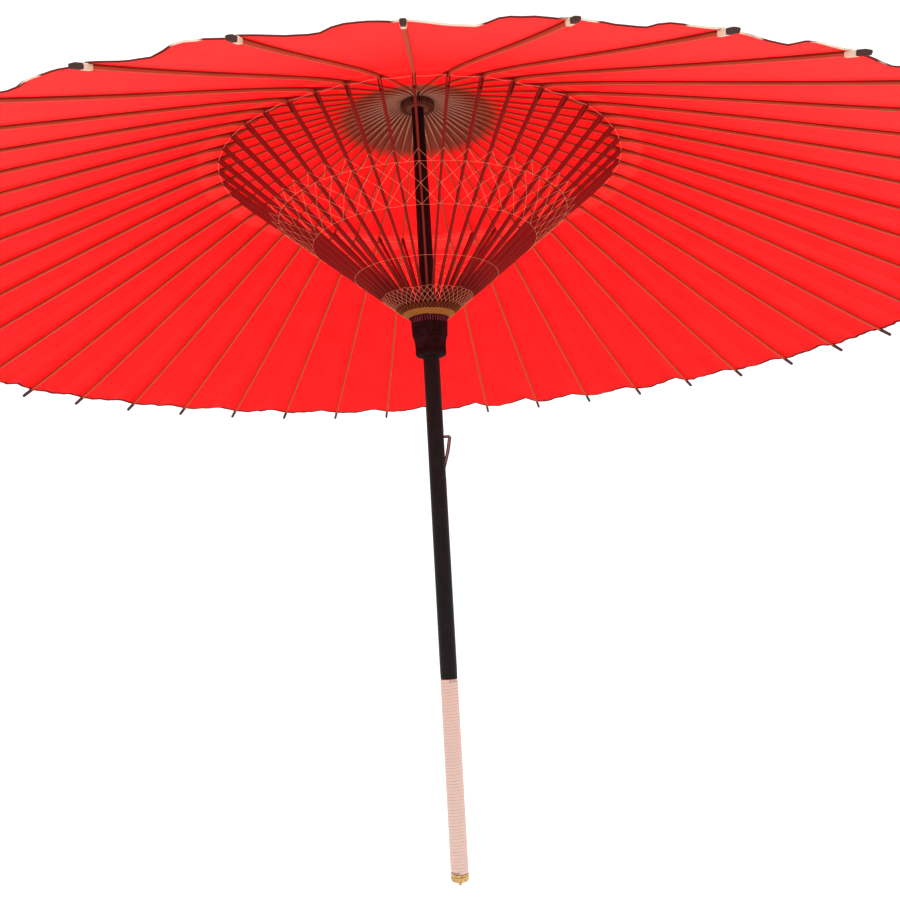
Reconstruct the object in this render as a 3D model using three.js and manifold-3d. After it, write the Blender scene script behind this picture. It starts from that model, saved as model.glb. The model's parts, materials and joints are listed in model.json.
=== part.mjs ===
// Oil paper umbrella, open. Millimetres, +Z up.
// The origin is on the shaft's axis at the middle of the hand grip.
// Angles round the shaft are measured from -Y towards +X.
import * as THREE from 'three';
import { mergeVertices } from 'three/addons/utils/BufferGeometryUtils.js';
import Module from 'manifold-3d';

const wasm = await Module();
wasm.setup();

const DEG = Math.PI / 180;
const GAP = 0.3; // left between pieces that touch

// Ribs and stretchers, one of each per gore
const RIB_COUNT = 44;
const PITCH = (2 * Math.PI) / RIB_COUNT;
const FIRST_RIB_ANGLE = -0.46 * DEG;
const HUB_HINGE_RADIUS = 15; // circle of the hinge thread in the top hub
const HUB_HINGE_Z = 685;
const RUNNER_HINGE_RADIUS = 14; // circle of the hinge thread in the runner
const RUNNER_HINGE_Z = 448.6;
const RIB_SLOPE = 23.75 * DEG; // below the horizontal, from hinge to tip
const RIB_LENGTH = 601; // hinge to tip
const RIB_BOW = 7; // rise of the sprung rib above the line from hinge to tip
const KNUCKLE_DISTANCE = 206; // hinge to the stretcher's joint, along the rib
const RIB_TOP = 1.6; // rib's upper edge above its hinge line
const RIB_BOTTOM = 3; // rib's lower edge below its hinge line
const EYE_RADIUS = 1;
const TONGUE_WIDTH = 0.8; // thinned ends that enter the slots
// [distance from the hinge, value]; depths are from the hinge line to the bar's edge
const RIB_WIDTHS = [[6, TONGUE_WIDTH], [300, 3.2]];
const RIB_DEPTHS = [[0, 2.2], [30, RIB_BOTTOM], [300, RIB_BOTTOM], [RIB_LENGTH, 2.2]];
const STRETCHER_HALF_DEPTH = 2.7;
const STRETCHER_HALF_DEPTHS = [[4, 1.2], [16, 1.9], [60, STRETCHER_HALF_DEPTH]];
const STRETCHER_WIDTHS = [[7, TONGUE_WIDTH], [16, 2.6], [30, 3.5], [70, 2.7], [240, 3.3]];
const THREAD_RADIUS = 0.35;

// Top hub and runner, turned wood with a slot for each rib
const HUB_RADIUS = 17.75;
const SLOT_WIDTH = 1.4;
const SLOT_FLOOR_RADIUS = 12.2;
const THREAD_GROOVE_DEPTH = 0.8; // inside the hinge circle
const THREAD_GROOVE_HALF = 0.9;
const HUB_BOTTOM = 677;
const HUB_TOP = 698;
const HUB_BORE = 6.5;
const RUNNER_BOTTOM = 412;
const RUNNER_TOP = 451.4;
const RUNNER_BORE = 8.75;
const RUNNER_TOP_RADIUS = 19;
const RUNNER_DRUM_RADIUS = 18; // at the foot of the drum
const RUNNER_SLEEVE_RADIUS = 15.8;
const RUNNER_WAIST_RADIUS = 14.2;

// Shaft, grip and end cap
const SHAFT_RADIUS = 8.4;
const SHAFT_TOP_RADIUS = 6.2;
const SHAFT_TOP = 700;
const SPIGOT_RADIUS = 7; // turned down under the grip wrap and the end cap
const WRAP_RADIUS = 8.8;
const WRAP_TOP = 91;
const WRAP_BOTTOM = -90;
const CAP_RADIUS = 8.7;
const CAP_BOTTOM = -98;
const CAP_FLOOR = -96; // inside the cap
const NUB_RADIUS = 3;
const NUB_END_RADIUS = 1.2;
const NUB_END = -102;

// Spring catches: bent strips that pivot low in a slot of the shaft
const CATCH_TOP = 331;
const CATCH_HEIGHT = 42;
const CATCH_REACH = 16.4; // from the shaft's axis to the top corner
const CATCH_THICKNESS = 2.3;
const CATCH_WIDTH = 2.6;
const CATCH_SLOT_BACK = -3;
const CATCH_SLOT_FRONT = 12;
const UPPER_CATCH_RAISE = RUNNER_BOTTOM - GAP - CATCH_TOP;

// Paper and cap
const PAPER_RADIUS = 555;
const PAPER_SEAM_RADIUS = 208; // where the ceiling paper ends and the outer paper begins
const PAPER_INNER_RADIUS = 18.4;
const PAPER_THICKNESS = 0.6;
const CROWN_RADIUS = 89;
const CROWN_THICKNESS = 0.9;
const CROWN_TOP = 711;

const COLOURS = {
  rib: { color: 0xa8703c, roughness: 0.6 },
  stretcher: { color: 0x6e1618, roughness: 0.35 },
  lacquer: { color: 0x1a1010, roughness: 0.3 },
  catch: { color: 0x8a5a4a, roughness: 0.5 },
  cane: { color: 0xe8c0ae, roughness: 0.6 },
  brass: { color: 0x9a7a3a, roughness: 0.35, metalness: 1 },
  paper: { color: 0xf02a22, roughness: 0.7 },
  crown: { color: 0x2a1a18, roughness: 0.6 },
  thread: { color: 0xe09038, roughness: 0.8 },
};

const ribAngle = (index) => FIRST_RIB_ANGLE + index * PITCH;

// ---- helpers: lathes and rings about Z, bars in a radial plane, solids for joins and cuts

function latheAboutZ(profile, segments) {
  const points = profile.map(([radius, z]) => new THREE.Vector2(radius, z));
  const lathe = new THREE.LatheGeometry(points, segments, FIRST_RIB_ANGLE + PITCH / 2);
  return lathe.rotateX(Math.PI / 2);
}

function ringProfile(profile) {
  return [...profile, profile[0]];
}

function threadRing(radius, z, wave = () => [0, 0]) {
  const ring = new THREE.TorusGeometry(radius, THREAD_RADIUS, 3, RIB_COUNT);
  ring.rotateZ(FIRST_RIB_ANGLE - Math.PI / 2);
  const position = ring.attributes.position;
  for (let i = 0; i < position.count; i += 1) {
    const x = position.getX(i);
    const y = position.getY(i);
    const distance = Math.hypot(x, y);
    const step = Math.round((Math.atan2(x, -y) - FIRST_RIB_ANGLE) / PITCH);
    const [outward, up] = wave(Math.abs(step) % 2);
    const factor = (distance + outward) / distance;
    position.setXYZ(i, x * factor, y * factor, z + position.getZ(i) + up);
  }
  return ring;
}

function barFromOutline(outline, widthAt, hole) {
  const shape = new THREE.Shape(outline.map(([along, up]) => new THREE.Vector2(along, up)));
  if (hole) shape.holes.push(hole);
  const bar = new THREE.ExtrudeGeometry(shape, { depth: 1, bevelEnabled: false });
  bar.translate(0, 0, -0.5);
  const position = bar.attributes.position;
  for (let i = 0; i < position.count; i += 1) {
    position.setZ(i, position.getZ(i) * widthAt(position.getX(i)));
  }
  return bar;
}

function weld(geometry) {
  const bare = geometry.clone();
  bare.deleteAttribute('normal');
  bare.deleteAttribute('uv');
  const welded = mergeVertices(bare, 1e-4);
  const kept = [];
  for (let i = 0; i < welded.index.count; i += 3) {
    const [a, b, c] = [0, 1, 2].map((corner) => welded.index.getX(i + corner));
    if (a !== b && b !== c && c !== a) kept.push(a, b, c);
  }
  welded.setIndex(kept);
  return welded;
}

function solidFrom(geometry) {
  const welded = weld(geometry);
  const vertProperties = new Float32Array(welded.attributes.position.array);
  const triVerts = new Uint32Array(welded.index.array);
  return new wasm.Manifold(new wasm.Mesh({ numProp: 3, vertProperties, triVerts }));
}

function geometryFrom(solid) {
  const mesh = solid.getMesh();
  const geometry = new THREE.BufferGeometry();
  const vertices = new Float32Array(mesh.vertProperties);
  geometry.setAttribute('position', new THREE.BufferAttribute(vertices, 3));
  geometry.setIndex(new THREE.BufferAttribute(new Uint32Array(mesh.triVerts), 1));
  return geometry;
}

function boxBetween([x0, y0, z0], [x1, y1, z1]) {
  const box = new THREE.BoxGeometry(x1 - x0, y1 - y0, z1 - z0);
  return box.translate((x0 + x1) / 2, (y0 + y1) / 2, (z0 + z1) / 2);
}

// ---- lines of the open mechanism, in the plane of one rib: [radius, height]

// Rise of the bowed rib above the straight line from hinge to tip, greatest at a third of it
function bowAt(along) {
  const share = THREE.MathUtils.clamp(along / RIB_LENGTH, 0, 1);
  return RIB_BOW * 6.75 * share * (1 - share) ** 2;
}

// A point at a distance along a rib from its hinge, and a height square to the rib
function onRib(along, up) {
  const height = up + bowAt(along);
  return [
    HUB_HINGE_RADIUS + along * Math.cos(RIB_SLOPE) + height * Math.sin(RIB_SLOPE),
    HUB_HINGE_Z - along * Math.sin(RIB_SLOPE) + height * Math.cos(RIB_SLOPE),
  ];
}

// Distance along a rib at which a line that follows it has the given radius
function alongRibAtRadius(radius, up) {
  let along = 0;
  for (let pass = 0; pass < 8; pass += 1) {
    const height = up + bowAt(along);
    along = (radius - HUB_HINGE_RADIUS - height * Math.sin(RIB_SLOPE)) / Math.cos(RIB_SLOPE);
  }
  return along;
}

const [KNUCKLE_RADIUS, KNUCKLE_Z] = onRib(KNUCKLE_DISTANCE, 0);
const STRETCHER_RISE = Math.atan2(
  KNUCKLE_Z - RUNNER_HINGE_Z,
  KNUCKLE_RADIUS - RUNNER_HINGE_RADIUS,
);

// A point on a stretcher; up is square to it, towards the shaft
function onStretcher(along, up) {
  return [
    RUNNER_HINGE_RADIUS + along * Math.cos(STRETCHER_RISE) - up * Math.sin(STRETCHER_RISE),
    RUNNER_HINGE_Z + along * Math.sin(STRETCHER_RISE) + up * Math.cos(STRETCHER_RISE),
  ];
}

// Where a line parallel to the stretcher meets the line just under the rib
function stretcherEnd(up) {
  const [radius, z] = onStretcher(0, up);
  const above = (radius - HUB_HINGE_RADIUS) * Math.sin(RIB_SLOPE)
    + (z - HUB_HINGE_Z) * Math.cos(RIB_SLOPE);
  return (RIB_BOW - RIB_BOTTOM - GAP - above) / Math.sin(RIB_SLOPE + STRETCHER_RISE);
}

// ---- ribs and stretchers

// Value at a distance along a bar, from [distance, value] steps joined by straight lines
function valueAt(along, steps) {
  if (along <= steps[0][0]) return steps[0][1];
  const next = steps.findIndex(([distance]) => along <= distance);
  if (next < 0) return steps[steps.length - 1][1];
  const [[d0, v0], [d1, v1]] = [steps[next - 1], steps[next]];
  return v0 + ((v1 - v0) * (along - d0)) / (d1 - d0);
}

const ribWidth = (along) => valueAt(along, RIB_WIDTHS);
const ribDepth = (along) => valueAt(along, RIB_DEPTHS);

function ribGeometry() {
  const tongue = 2.2; // round the hinge eye
  const stops = [30, 100, 200, 300, 400, 500, RIB_LENGTH];
  const lowerEdge = stops.map((along) => [along, bowAt(along) - ribDepth(along)]);
  const upperEdge = stops.map((along) => [along, bowAt(along) + RIB_TOP]).reverse();
  const outline = [
    [-tongue, -tongue * 0.5],
    [0, -tongue],
    ...lowerEdge,
    ...upperEdge,
    [6, RIB_TOP + bowAt(6)],
    [-tongue, RIB_TOP * 0.6],
  ];
  const eye = new THREE.Path();
  for (let corner = 0; corner < 6; corner += 1) {
    const turn = -corner * 60 * DEG;
    const point = [EYE_RADIUS * Math.cos(turn), EYE_RADIUS * Math.sin(turn)];
    if (corner === 0) eye.moveTo(...point);
    else eye.lineTo(...point);
  }
  eye.closePath();
  return barFromOutline(outline, ribWidth, eye);
}

const stretcherDepth = (along) => valueAt(along, STRETCHER_HALF_DEPTHS);

function stretcherGeometry() {
  const tongueEnd = [-1, stretcherDepth(0)];
  const stops = [4, 16, 30, 60, 140];
  const lowerEdge = stops.map((along) => [along, -stretcherDepth(along)]);
  const upperEdge = stops.map((along) => [along, stretcherDepth(along)]).reverse();
  const outline = [
    [tongueEnd[0], -tongueEnd[1]],
    ...lowerEdge,
    [stretcherEnd(-STRETCHER_HALF_DEPTH), -STRETCHER_HALF_DEPTH],
    [stretcherEnd(STRETCHER_HALF_DEPTH), STRETCHER_HALF_DEPTH],
    ...upperEdge,
    tongueEnd,
  ];
  return barFromOutline(outline, (along) => valueAt(along, STRETCHER_WIDTHS));
}

// Turns a bar that lies along +X into its place in the plane at an angle round the shaft
function placeInPlane(object, [hingeRadius, hingeZ], tilt, angle) {
  object.rotation.set(Math.PI / 2, 0, tilt);
  object.position.set(hingeRadius, 0, hingeZ);
  const plane = new THREE.Group();
  plane.rotation.z = angle - Math.PI / 2;
  plane.add(object);
  return plane;
}

// All the stretchers strung on their hinge thread in the runner
function stretcherCage() {
  const hinge = [RUNNER_HINGE_RADIUS, RUNNER_HINGE_Z];
  let cage = solidFrom(threadRing(...hinge));
  for (let i = 0; i < RIB_COUNT; i += 1) {
    const bar = new THREE.Mesh(stretcherGeometry());
    const plane = placeInPlane(bar, hinge, STRETCHER_RISE, ribAngle(i));
    plane.updateMatrixWorld(true);
    cage = cage.add(solidFrom(bar.geometry.applyMatrix4(bar.matrixWorld)));
  }
  return geometryFrom(cage);
}

// ---- hub and runner

function cutRibSlots(drum, bottom, top) {
  const slot = boxBetween(
    [SLOT_FLOOR_RADIUS, -SLOT_WIDTH / 2, bottom],
    [RUNNER_TOP_RADIUS + 5, SLOT_WIDTH / 2, top],
  );
  let cut = solidFrom(drum);
  for (let i = 0; i < RIB_COUNT; i += 1) {
    const turned = slot.clone().rotateZ(ribAngle(i) - Math.PI / 2);
    cut = cut.subtract(solidFrom(turned));
  }
  return geometryFrom(cut);
}

// Outline of a drum's wall from its foot to its top, with the groove that its hinge thread lies in
function groovedWall([footRadius, foot], [hingeRadius, hingeZ], [topRadius, top]) {
  const wallAt = (z) => THREE.MathUtils.mapLinear(z, foot, top, footRadius, topRadius);
  const [low, high] = [hingeZ - THREAD_GROOVE_HALF, hingeZ + THREAD_GROOVE_HALF];
  return [
    [footRadius, foot],
    [wallAt(low), low],
    [hingeRadius - THREAD_GROOVE_DEPTH, low],
    [hingeRadius - THREAD_GROOVE_DEPTH, high],
    [wallAt(high), high],
    [topRadius, top],
  ];
}

function topHub() {
  const foot = [HUB_RADIUS, HUB_BOTTOM];
  const profile = ringProfile([
    [HUB_BORE, HUB_BOTTOM],
    ...groovedWall(foot, [HUB_HINGE_RADIUS, HUB_HINGE_Z], [HUB_RADIUS, HUB_TOP]),
    [HUB_BORE, HUB_TOP],
  ]);
  const slotTop = HUB_HINGE_Z + 4.5;
  return cutRibSlots(latheAboutZ(profile, RIB_COUNT), HUB_BOTTOM - 1, slotTop);
}

function runner() {
  const waistBottom = RUNNER_BOTTOM + 18.5;
  const waistTop = waistBottom + 2;
  const chamfer = 1.5;
  const hinge = [RUNNER_HINGE_RADIUS, RUNNER_HINGE_Z];
  const profile = ringProfile([
    [RUNNER_BORE, RUNNER_BOTTOM],
    [RUNNER_SLEEVE_RADIUS - chamfer, RUNNER_BOTTOM],
    [RUNNER_SLEEVE_RADIUS, RUNNER_BOTTOM + chamfer],
    [RUNNER_SLEEVE_RADIUS + 0.8, waistBottom],
    [RUNNER_WAIST_RADIUS, waistBottom],
    [RUNNER_WAIST_RADIUS, waistTop],
    ...groovedWall([RUNNER_DRUM_RADIUS, waistTop], hinge, [RUNNER_TOP_RADIUS, RUNNER_TOP]),
    [RUNNER_BORE, RUNNER_TOP],
  ]);
  const slotFloor = RUNNER_HINGE_Z - 3;
  return cutRibSlots(latheAboutZ(profile, RIB_COUNT), slotFloor, RUNNER_TOP + 1);
}

// ---- shaft, grip and end cap

function catchSlot() {
  const halfWidth = CATCH_WIDTH / 2 + GAP;
  return boxBetween(
    [CATCH_SLOT_BACK, -halfWidth, CATCH_TOP - CATCH_HEIGHT - 1.5],
    [CATCH_SLOT_FRONT, halfWidth, CATCH_TOP + 3],
  );
}

function shaft() {
  const profile = [
    [0, CAP_FLOOR + GAP],
    [SPIGOT_RADIUS, CAP_FLOOR + GAP],
    [SPIGOT_RADIUS, WRAP_TOP + GAP],
    [SHAFT_RADIUS, WRAP_TOP + GAP],
    [SHAFT_RADIUS, RUNNER_BOTTOM],
    [7.65, 491],
    [7.25, 588],
    [SHAFT_TOP_RADIUS, HUB_BOTTOM],
    [SHAFT_TOP_RADIUS, SHAFT_TOP],
    [0, SHAFT_TOP],
  ];
  const lowerSlot = catchSlot();
  const upperSlot = catchSlot().rotateZ(Math.PI / 2).translate(0, 0, UPPER_CATCH_RAISE);
  const cut = solidFrom(latheAboutZ(profile, 32))
    .subtract(solidFrom(lowerSlot))
    .subtract(solidFrom(upperSlot));
  return geometryFrom(cut);
}

// A strip that leans out of the shaft and turns back to it at the top, in the XZ plane
function springCatch() {
  const foot = CATCH_TOP - CATCH_HEIGHT;
  const returnEnd = 7.2;
  const returnBottom = CATCH_TOP - CATCH_THICKNESS;
  const footFront = 6;
  const outline = [
    [footFront, foot],
    [CATCH_REACH, CATCH_TOP],
    [returnEnd, CATCH_TOP],
    [returnEnd, returnBottom],
    [CATCH_REACH - CATCH_THICKNESS - 0.6, returnBottom],
    [footFront - CATCH_THICKNESS, foot],
  ];
  return barFromOutline(outline, () => CATCH_WIDTH).rotateX(Math.PI / 2);
}

function gripWrap() {
  const inner = SPIGOT_RADIUS + GAP;
  return latheAboutZ(ringProfile([
    [inner, WRAP_BOTTOM],
    [WRAP_RADIUS, WRAP_BOTTOM],
    [WRAP_RADIUS, WRAP_TOP],
    [inner, WRAP_TOP],
  ]), 32);
}

function endCap() {
  const mouth = WRAP_BOTTOM - GAP;
  const inner = SPIGOT_RADIUS + GAP;
  const chamfer = 1;
  return latheAboutZ([
    [0, NUB_END],
    [NUB_END_RADIUS, NUB_END],
    [NUB_RADIUS, CAP_BOTTOM],
    [CAP_RADIUS - chamfer, CAP_BOTTOM],
    [CAP_RADIUS, CAP_BOTTOM + chamfer],
    [CAP_RADIUS, mouth],
    [inner, mouth],
    [inner, CAP_FLOOR],
    [0, CAP_FLOOR],
  ], 32);
}

// ---- paper and its cap

const PAPER_UNDERSIDE = RIB_TOP + GAP;
const CROWN_UNDERSIDE = PAPER_UNDERSIDE + PAPER_THICKNESS + GAP;

// Points on a line that follows the rib at a height, at the given radii
function alongRibs(radii, up) {
  return radii.map((radius) => onRib(alongRibAtRadius(radius, up), up));
}

// A cone of paper that lies on the ribs, between the first and the last of the radii
function paperCone(radii) {
  return latheAboutZ(ringProfile([
    ...alongRibs(radii, PAPER_UNDERSIDE),
    ...alongRibs([...radii].reverse(), PAPER_UNDERSIDE + PAPER_THICKNESS),
  ]), 2 * RIB_COUNT);
}

// A skirt on the paper, a collar round the hub and a domed top
function crownCap() {
  const collarInner = PAPER_INNER_RADIUS;
  const collarOuter = collarInner + CROWN_THICKNESS;
  const middle = 50;
  return latheAboutZ([
    [0, SHAFT_TOP + 1],
    [SHAFT_TOP_RADIUS + 1, SHAFT_TOP + 1],
    [collarInner, HUB_TOP + 1],
    ...alongRibs([collarInner, middle, CROWN_RADIUS], CROWN_UNDERSIDE),
    ...alongRibs([CROWN_RADIUS, middle, collarOuter], CROWN_UNDERSIDE + CROWN_THICKNESS),
    [collarOuter, HUB_TOP + 1.5],
    [12, CROWN_TOP - 6],
    [4, CROWN_TOP],
    [0, CROWN_TOP],
  ], RIB_COUNT);
}

// ---- decorative threads, laid just outside the stretchers

const threadSide = (along) => -(stretcherDepth(along) + GAP + 2 * THREAD_RADIUS);

function ringOnStretchers(along) {
  return threadRing(...onStretcher(along, threadSide(along)));
}

function zigzagOnStretchers(from, to) {
  const [lowRadius, lowZ] = onStretcher(from, threadSide(from));
  const [highRadius, highZ] = onStretcher(to, threadSide(to));
  const step = [highRadius - lowRadius, highZ - lowZ];
  return threadRing(lowRadius, lowZ, (odd) => (odd ? step : [0, 0]));
}

// The band wound just above the runner, and the lattice that starts from its upper edge
function waistThread() {
  const [from, to, latticeTop] = [7, 15.5, 39.5];
  const thickness = 0.8;
  const inside = (along) => -(stretcherDepth(along) + GAP);
  const band = latheAboutZ(ringProfile([
    onStretcher(from, inside(from)),
    onStretcher(from, inside(from) - thickness),
    onStretcher(to, inside(to) - thickness),
    onStretcher(to, inside(to)),
  ]), RIB_COUNT);
  return geometryFrom(solidFrom(band).add(solidFrom(zigzagOnStretchers(to - 0.4, latticeTop))));
}

function knuckleThread() {
  const outsideStretcher = KNUCKLE_DISTANCE + 2.4;
  return threadRing(...onRib(outsideStretcher, -RIB_BOTTOM - GAP - 2 * THREAD_RADIUS));
}

// ---- assembly

const umbrella = new THREE.Group();

function addPiece(name, geometry, look) {
  const mesh = new THREE.Mesh(geometry, new THREE.MeshStandardMaterial(COLOURS[look]));
  mesh.name = name;
  return mesh;
}

umbrella.add(addPiece('shaft', shaft(), 'lacquer'));
umbrella.add(addPiece('grip_wrap', gripWrap(), 'cane'));
umbrella.add(addPiece('end_cap', endCap(), 'brass'));
umbrella.add(addPiece('top_hub', topHub(), 'lacquer'));
umbrella.add(addPiece('top_hub_thread', threadRing(HUB_HINGE_RADIUS, HUB_HINGE_Z), 'thread'));
umbrella.add(addPiece('runner', runner(), 'lacquer'));
umbrella.add(addPiece('lower_catch', springCatch(), 'catch'));

const upperCatch = addPiece('upper_catch', springCatch(), 'catch');
upperCatch.rotation.z = Math.PI / 2;
upperCatch.position.z = UPPER_CATCH_RAISE;
umbrella.add(upperCatch);

for (let i = 0; i < RIB_COUNT; i += 1) {
  const name = `rib_${String(i + 1).padStart(2, '0')}`;
  const rib = addPiece(name, ribGeometry(), 'rib');
  umbrella.add(placeInPlane(rib, [HUB_HINGE_RADIUS, HUB_HINGE_Z], -RIB_SLOPE, ribAngle(i)));
}

umbrella.add(addPiece('stretcher_cage', stretcherCage(), 'stretcher'));
umbrella.add(addPiece('waist_thread', waistThread(), 'thread'));
umbrella.add(addPiece('ring_thread', ringOnStretchers(75.5), 'thread'));
umbrella.add(addPiece('zigzag_thread', zigzagOnStretchers(129, 172), 'thread'));
umbrella.add(addPiece('knuckle_thread', knuckleThread(), 'thread'));

const ceilingRadii = [PAPER_INNER_RADIUS, 70, 140, PAPER_SEAM_RADIUS - GAP / 2];
const outerRadii = [PAPER_SEAM_RADIUS + GAP / 2, 290, 380, 470, PAPER_RADIUS];
umbrella.add(addPiece('ceiling_paper', paperCone(ceilingRadii), 'paper'));
umbrella.add(addPiece('canopy_paper', paperCone(outerRadii), 'paper'));
umbrella.add(addPiece('crown_cap', crownCap(), 'crown'));

export default umbrella;
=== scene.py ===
"""Oil paper umbrella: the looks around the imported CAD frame. Metres, +Z up, origin at the grip's middle."""

import json
import math
import random

import bmesh
import bpy
from mathutils import Matrix, Vector


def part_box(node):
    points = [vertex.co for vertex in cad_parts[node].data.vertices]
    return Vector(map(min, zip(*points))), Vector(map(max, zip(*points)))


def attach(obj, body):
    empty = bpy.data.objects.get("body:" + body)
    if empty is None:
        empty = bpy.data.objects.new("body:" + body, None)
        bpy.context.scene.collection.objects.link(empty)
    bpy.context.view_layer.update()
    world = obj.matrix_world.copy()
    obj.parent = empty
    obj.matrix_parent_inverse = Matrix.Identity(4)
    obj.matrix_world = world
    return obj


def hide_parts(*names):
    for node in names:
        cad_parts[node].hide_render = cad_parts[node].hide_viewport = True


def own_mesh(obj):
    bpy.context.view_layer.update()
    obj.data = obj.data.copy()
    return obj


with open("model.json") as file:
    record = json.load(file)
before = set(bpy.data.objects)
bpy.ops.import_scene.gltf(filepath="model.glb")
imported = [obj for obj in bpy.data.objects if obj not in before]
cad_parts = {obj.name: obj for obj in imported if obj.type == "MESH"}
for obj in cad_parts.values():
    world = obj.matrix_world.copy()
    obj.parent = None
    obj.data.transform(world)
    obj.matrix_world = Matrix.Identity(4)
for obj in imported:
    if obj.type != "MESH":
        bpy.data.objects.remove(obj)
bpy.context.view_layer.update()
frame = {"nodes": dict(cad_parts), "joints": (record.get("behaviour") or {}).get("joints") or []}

MM = 0.001
UP = Vector((0, 0, 1))

# ---- sizes, from the frame

RIB_NAMES = sorted(name for name in frame["nodes"] if name.startswith("rib_"))
RIB_COUNT = len(RIB_NAMES)
PITCH = 2 * math.pi / RIB_COUNT
HINGES = {joint["child"]: Vector(joint["pos_m"]) for joint in frame["joints"] if "pos_m" in joint}
FIRST_HINGE = HINGES[RIB_NAMES[0]]
HINGE_RADIUS = Vector(FIRST_HINGE[:2]).length
HUB_HINGE_Z = FIRST_HINGE.z
FIRST_ANGLE = math.atan2(FIRST_HINGE.x, -FIRST_HINGE.y)  # from -Y towards +X
RUNNER_LOW, RUNNER_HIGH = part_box("runner")
RUNNER_HINGE_Z = RUNNER_HIGH.z - 2.8 * MM
RUNNER_HINGE_RADIUS = 14 * MM
HUB_LOW, HUB_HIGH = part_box("top_hub")
HUB_RADIUS = 17.75 * MM
SLOT_FLOOR = 12.2 * MM
SLOT_WIDTH = 1.4 * MM

RIB_SLOPE = math.radians(23.75)
RIB_LENGTH = 601 * MM
RIB_BOW = 7 * MM  # rise of the sprung rib above the line from hinge to tip
BOW_PEAK = 4 / 27  # the most that x (1 - x) ** 2 reaches between 0 and 1
RIB_TOP = 1.6 * MM
KNUCKLE = 206 * MM  # hinge to the stretcher's joint, along the rib
PAPER_LIFT = RIB_TOP + 0.2 * MM
PAPER_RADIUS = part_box("canopy_paper")[1].x
PAPER_INNER = 18.3 * MM
CROWN_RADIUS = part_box("crown_cap")[1].x

SEAM_RADIUS = 208 * MM  # where the paper under the stretchers meets the outer paper


def angle_of(index):
    """Angle round the shaft, from -Y towards +X, of a rib and its stretcher."""
    return FIRST_ANGLE + index * PITCH


def outward(angle):
    return Vector((math.sin(angle), -math.cos(angle), 0))


def sideways(angle):
    return Vector((math.cos(angle), math.sin(angle), 0))


def at(angle, radius, z):
    return outward(angle) * radius + UP * z


def turns_in(count):
    """Angles of count even steps round a circle."""
    return [2 * math.pi * step / count for step in range(count)]


def in_metres(table, start=0.0):
    """(radius, z) in metres from (radius, height over start) in millimetres."""
    return [(radius * MM, start + height * MM) for radius, height in table]


def bow_at(along):
    """Rise of the sprung rib, highest at a third of its length."""
    share = min(1.0, max(0.0, along / RIB_LENGTH))
    return RIB_BOW / BOW_PEAK * share * (1 - share) ** 2


def on_rib(along, up):
    """(radius, height) at a distance along a rib, and a height square to it."""
    cos, sin = math.cos(RIB_SLOPE), math.sin(RIB_SLOPE)
    up += bow_at(along)
    return HINGE_RADIUS + along * cos + up * sin, HUB_HINGE_Z - along * sin + up * cos


def height_over_ribs(radius, up):
    """Height at a radius on a line that follows the ribs."""
    cos, sin = math.cos(RIB_SLOPE), math.sin(RIB_SLOPE)
    along = 0.0
    for _ in range(4):
        along = (radius - HINGE_RADIUS - (up + bow_at(along)) * sin) / cos
    return on_rib(along, up)[1]


KNUCKLE_RADIUS, KNUCKLE_Z = on_rib(KNUCKLE, 0)
RISE = math.atan2(KNUCKLE_Z - RUNNER_HINGE_Z, KNUCKLE_RADIUS - RUNNER_HINGE_RADIUS)


def on_stretcher(along, up):
    """(radius, height) on a stretcher; up is square to it, towards the shaft."""
    cos, sin = math.cos(RISE), math.sin(RISE)
    return RUNNER_HINGE_RADIUS + along * cos - up * sin, RUNNER_HINGE_Z + along * sin + up * cos


def stretcher_end(up, below_rib):
    """Where a line along the stretcher reaches a line at that depth under the rib."""
    radius, z = on_stretcher(0, up)
    above = (radius - HINGE_RADIUS) * math.sin(RIB_SLOPE) + (z - HUB_HINGE_Z) * math.cos(RIB_SLOPE)
    return (RIB_BOW - below_rib - above) / math.sin(RIB_SLOPE + RISE)


def blend_table(table, x):
    """Straight-line value at x from (x, value) steps."""
    if x <= table[0][0]:
        return table[0][1]
    for (x0, v0), (x1, v1) in zip(table, table[1:]):
        if x <= x1:
            return v0 + (v1 - v0) * (x - x0) / (x1 - x0)
    return table[-1][1]


# ---- camera

CAMERA_PLACE = Vector((0, -0.988, 0.193))
CAMERA_PAN = math.radians(0.79)  # from +Y towards +X
CAMERA_TILT = math.radians(7.07)
CAMERA_ROLL = math.radians(-3.26)
CAMERA_LENS = 39.68


def make_camera():
    """A camera at the photo's place: below the rim, looking up along +Y."""
    data = bpy.data.cameras.new("camera")
    data.lens = CAMERA_LENS
    camera = bpy.data.objects.new("camera", data)
    bpy.context.scene.collection.objects.link(camera)
    level = Vector((math.sin(CAMERA_PAN), math.cos(CAMERA_PAN), 0))
    ahead = level * math.cos(CAMERA_TILT) + UP * math.sin(CAMERA_TILT)
    right = ahead.cross(UP).normalized()
    top = right.cross(ahead)
    cos, sin = math.cos(CAMERA_ROLL), math.sin(CAMERA_ROLL)
    right, top = right * cos + top * sin, top * cos - right * sin
    turn = Matrix((right, top, -ahead)).transposed().to_4x4()
    camera.matrix_world = Matrix.Translation(CAMERA_PLACE) @ turn
    bpy.context.scene.camera = camera


# ---- materials


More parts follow.
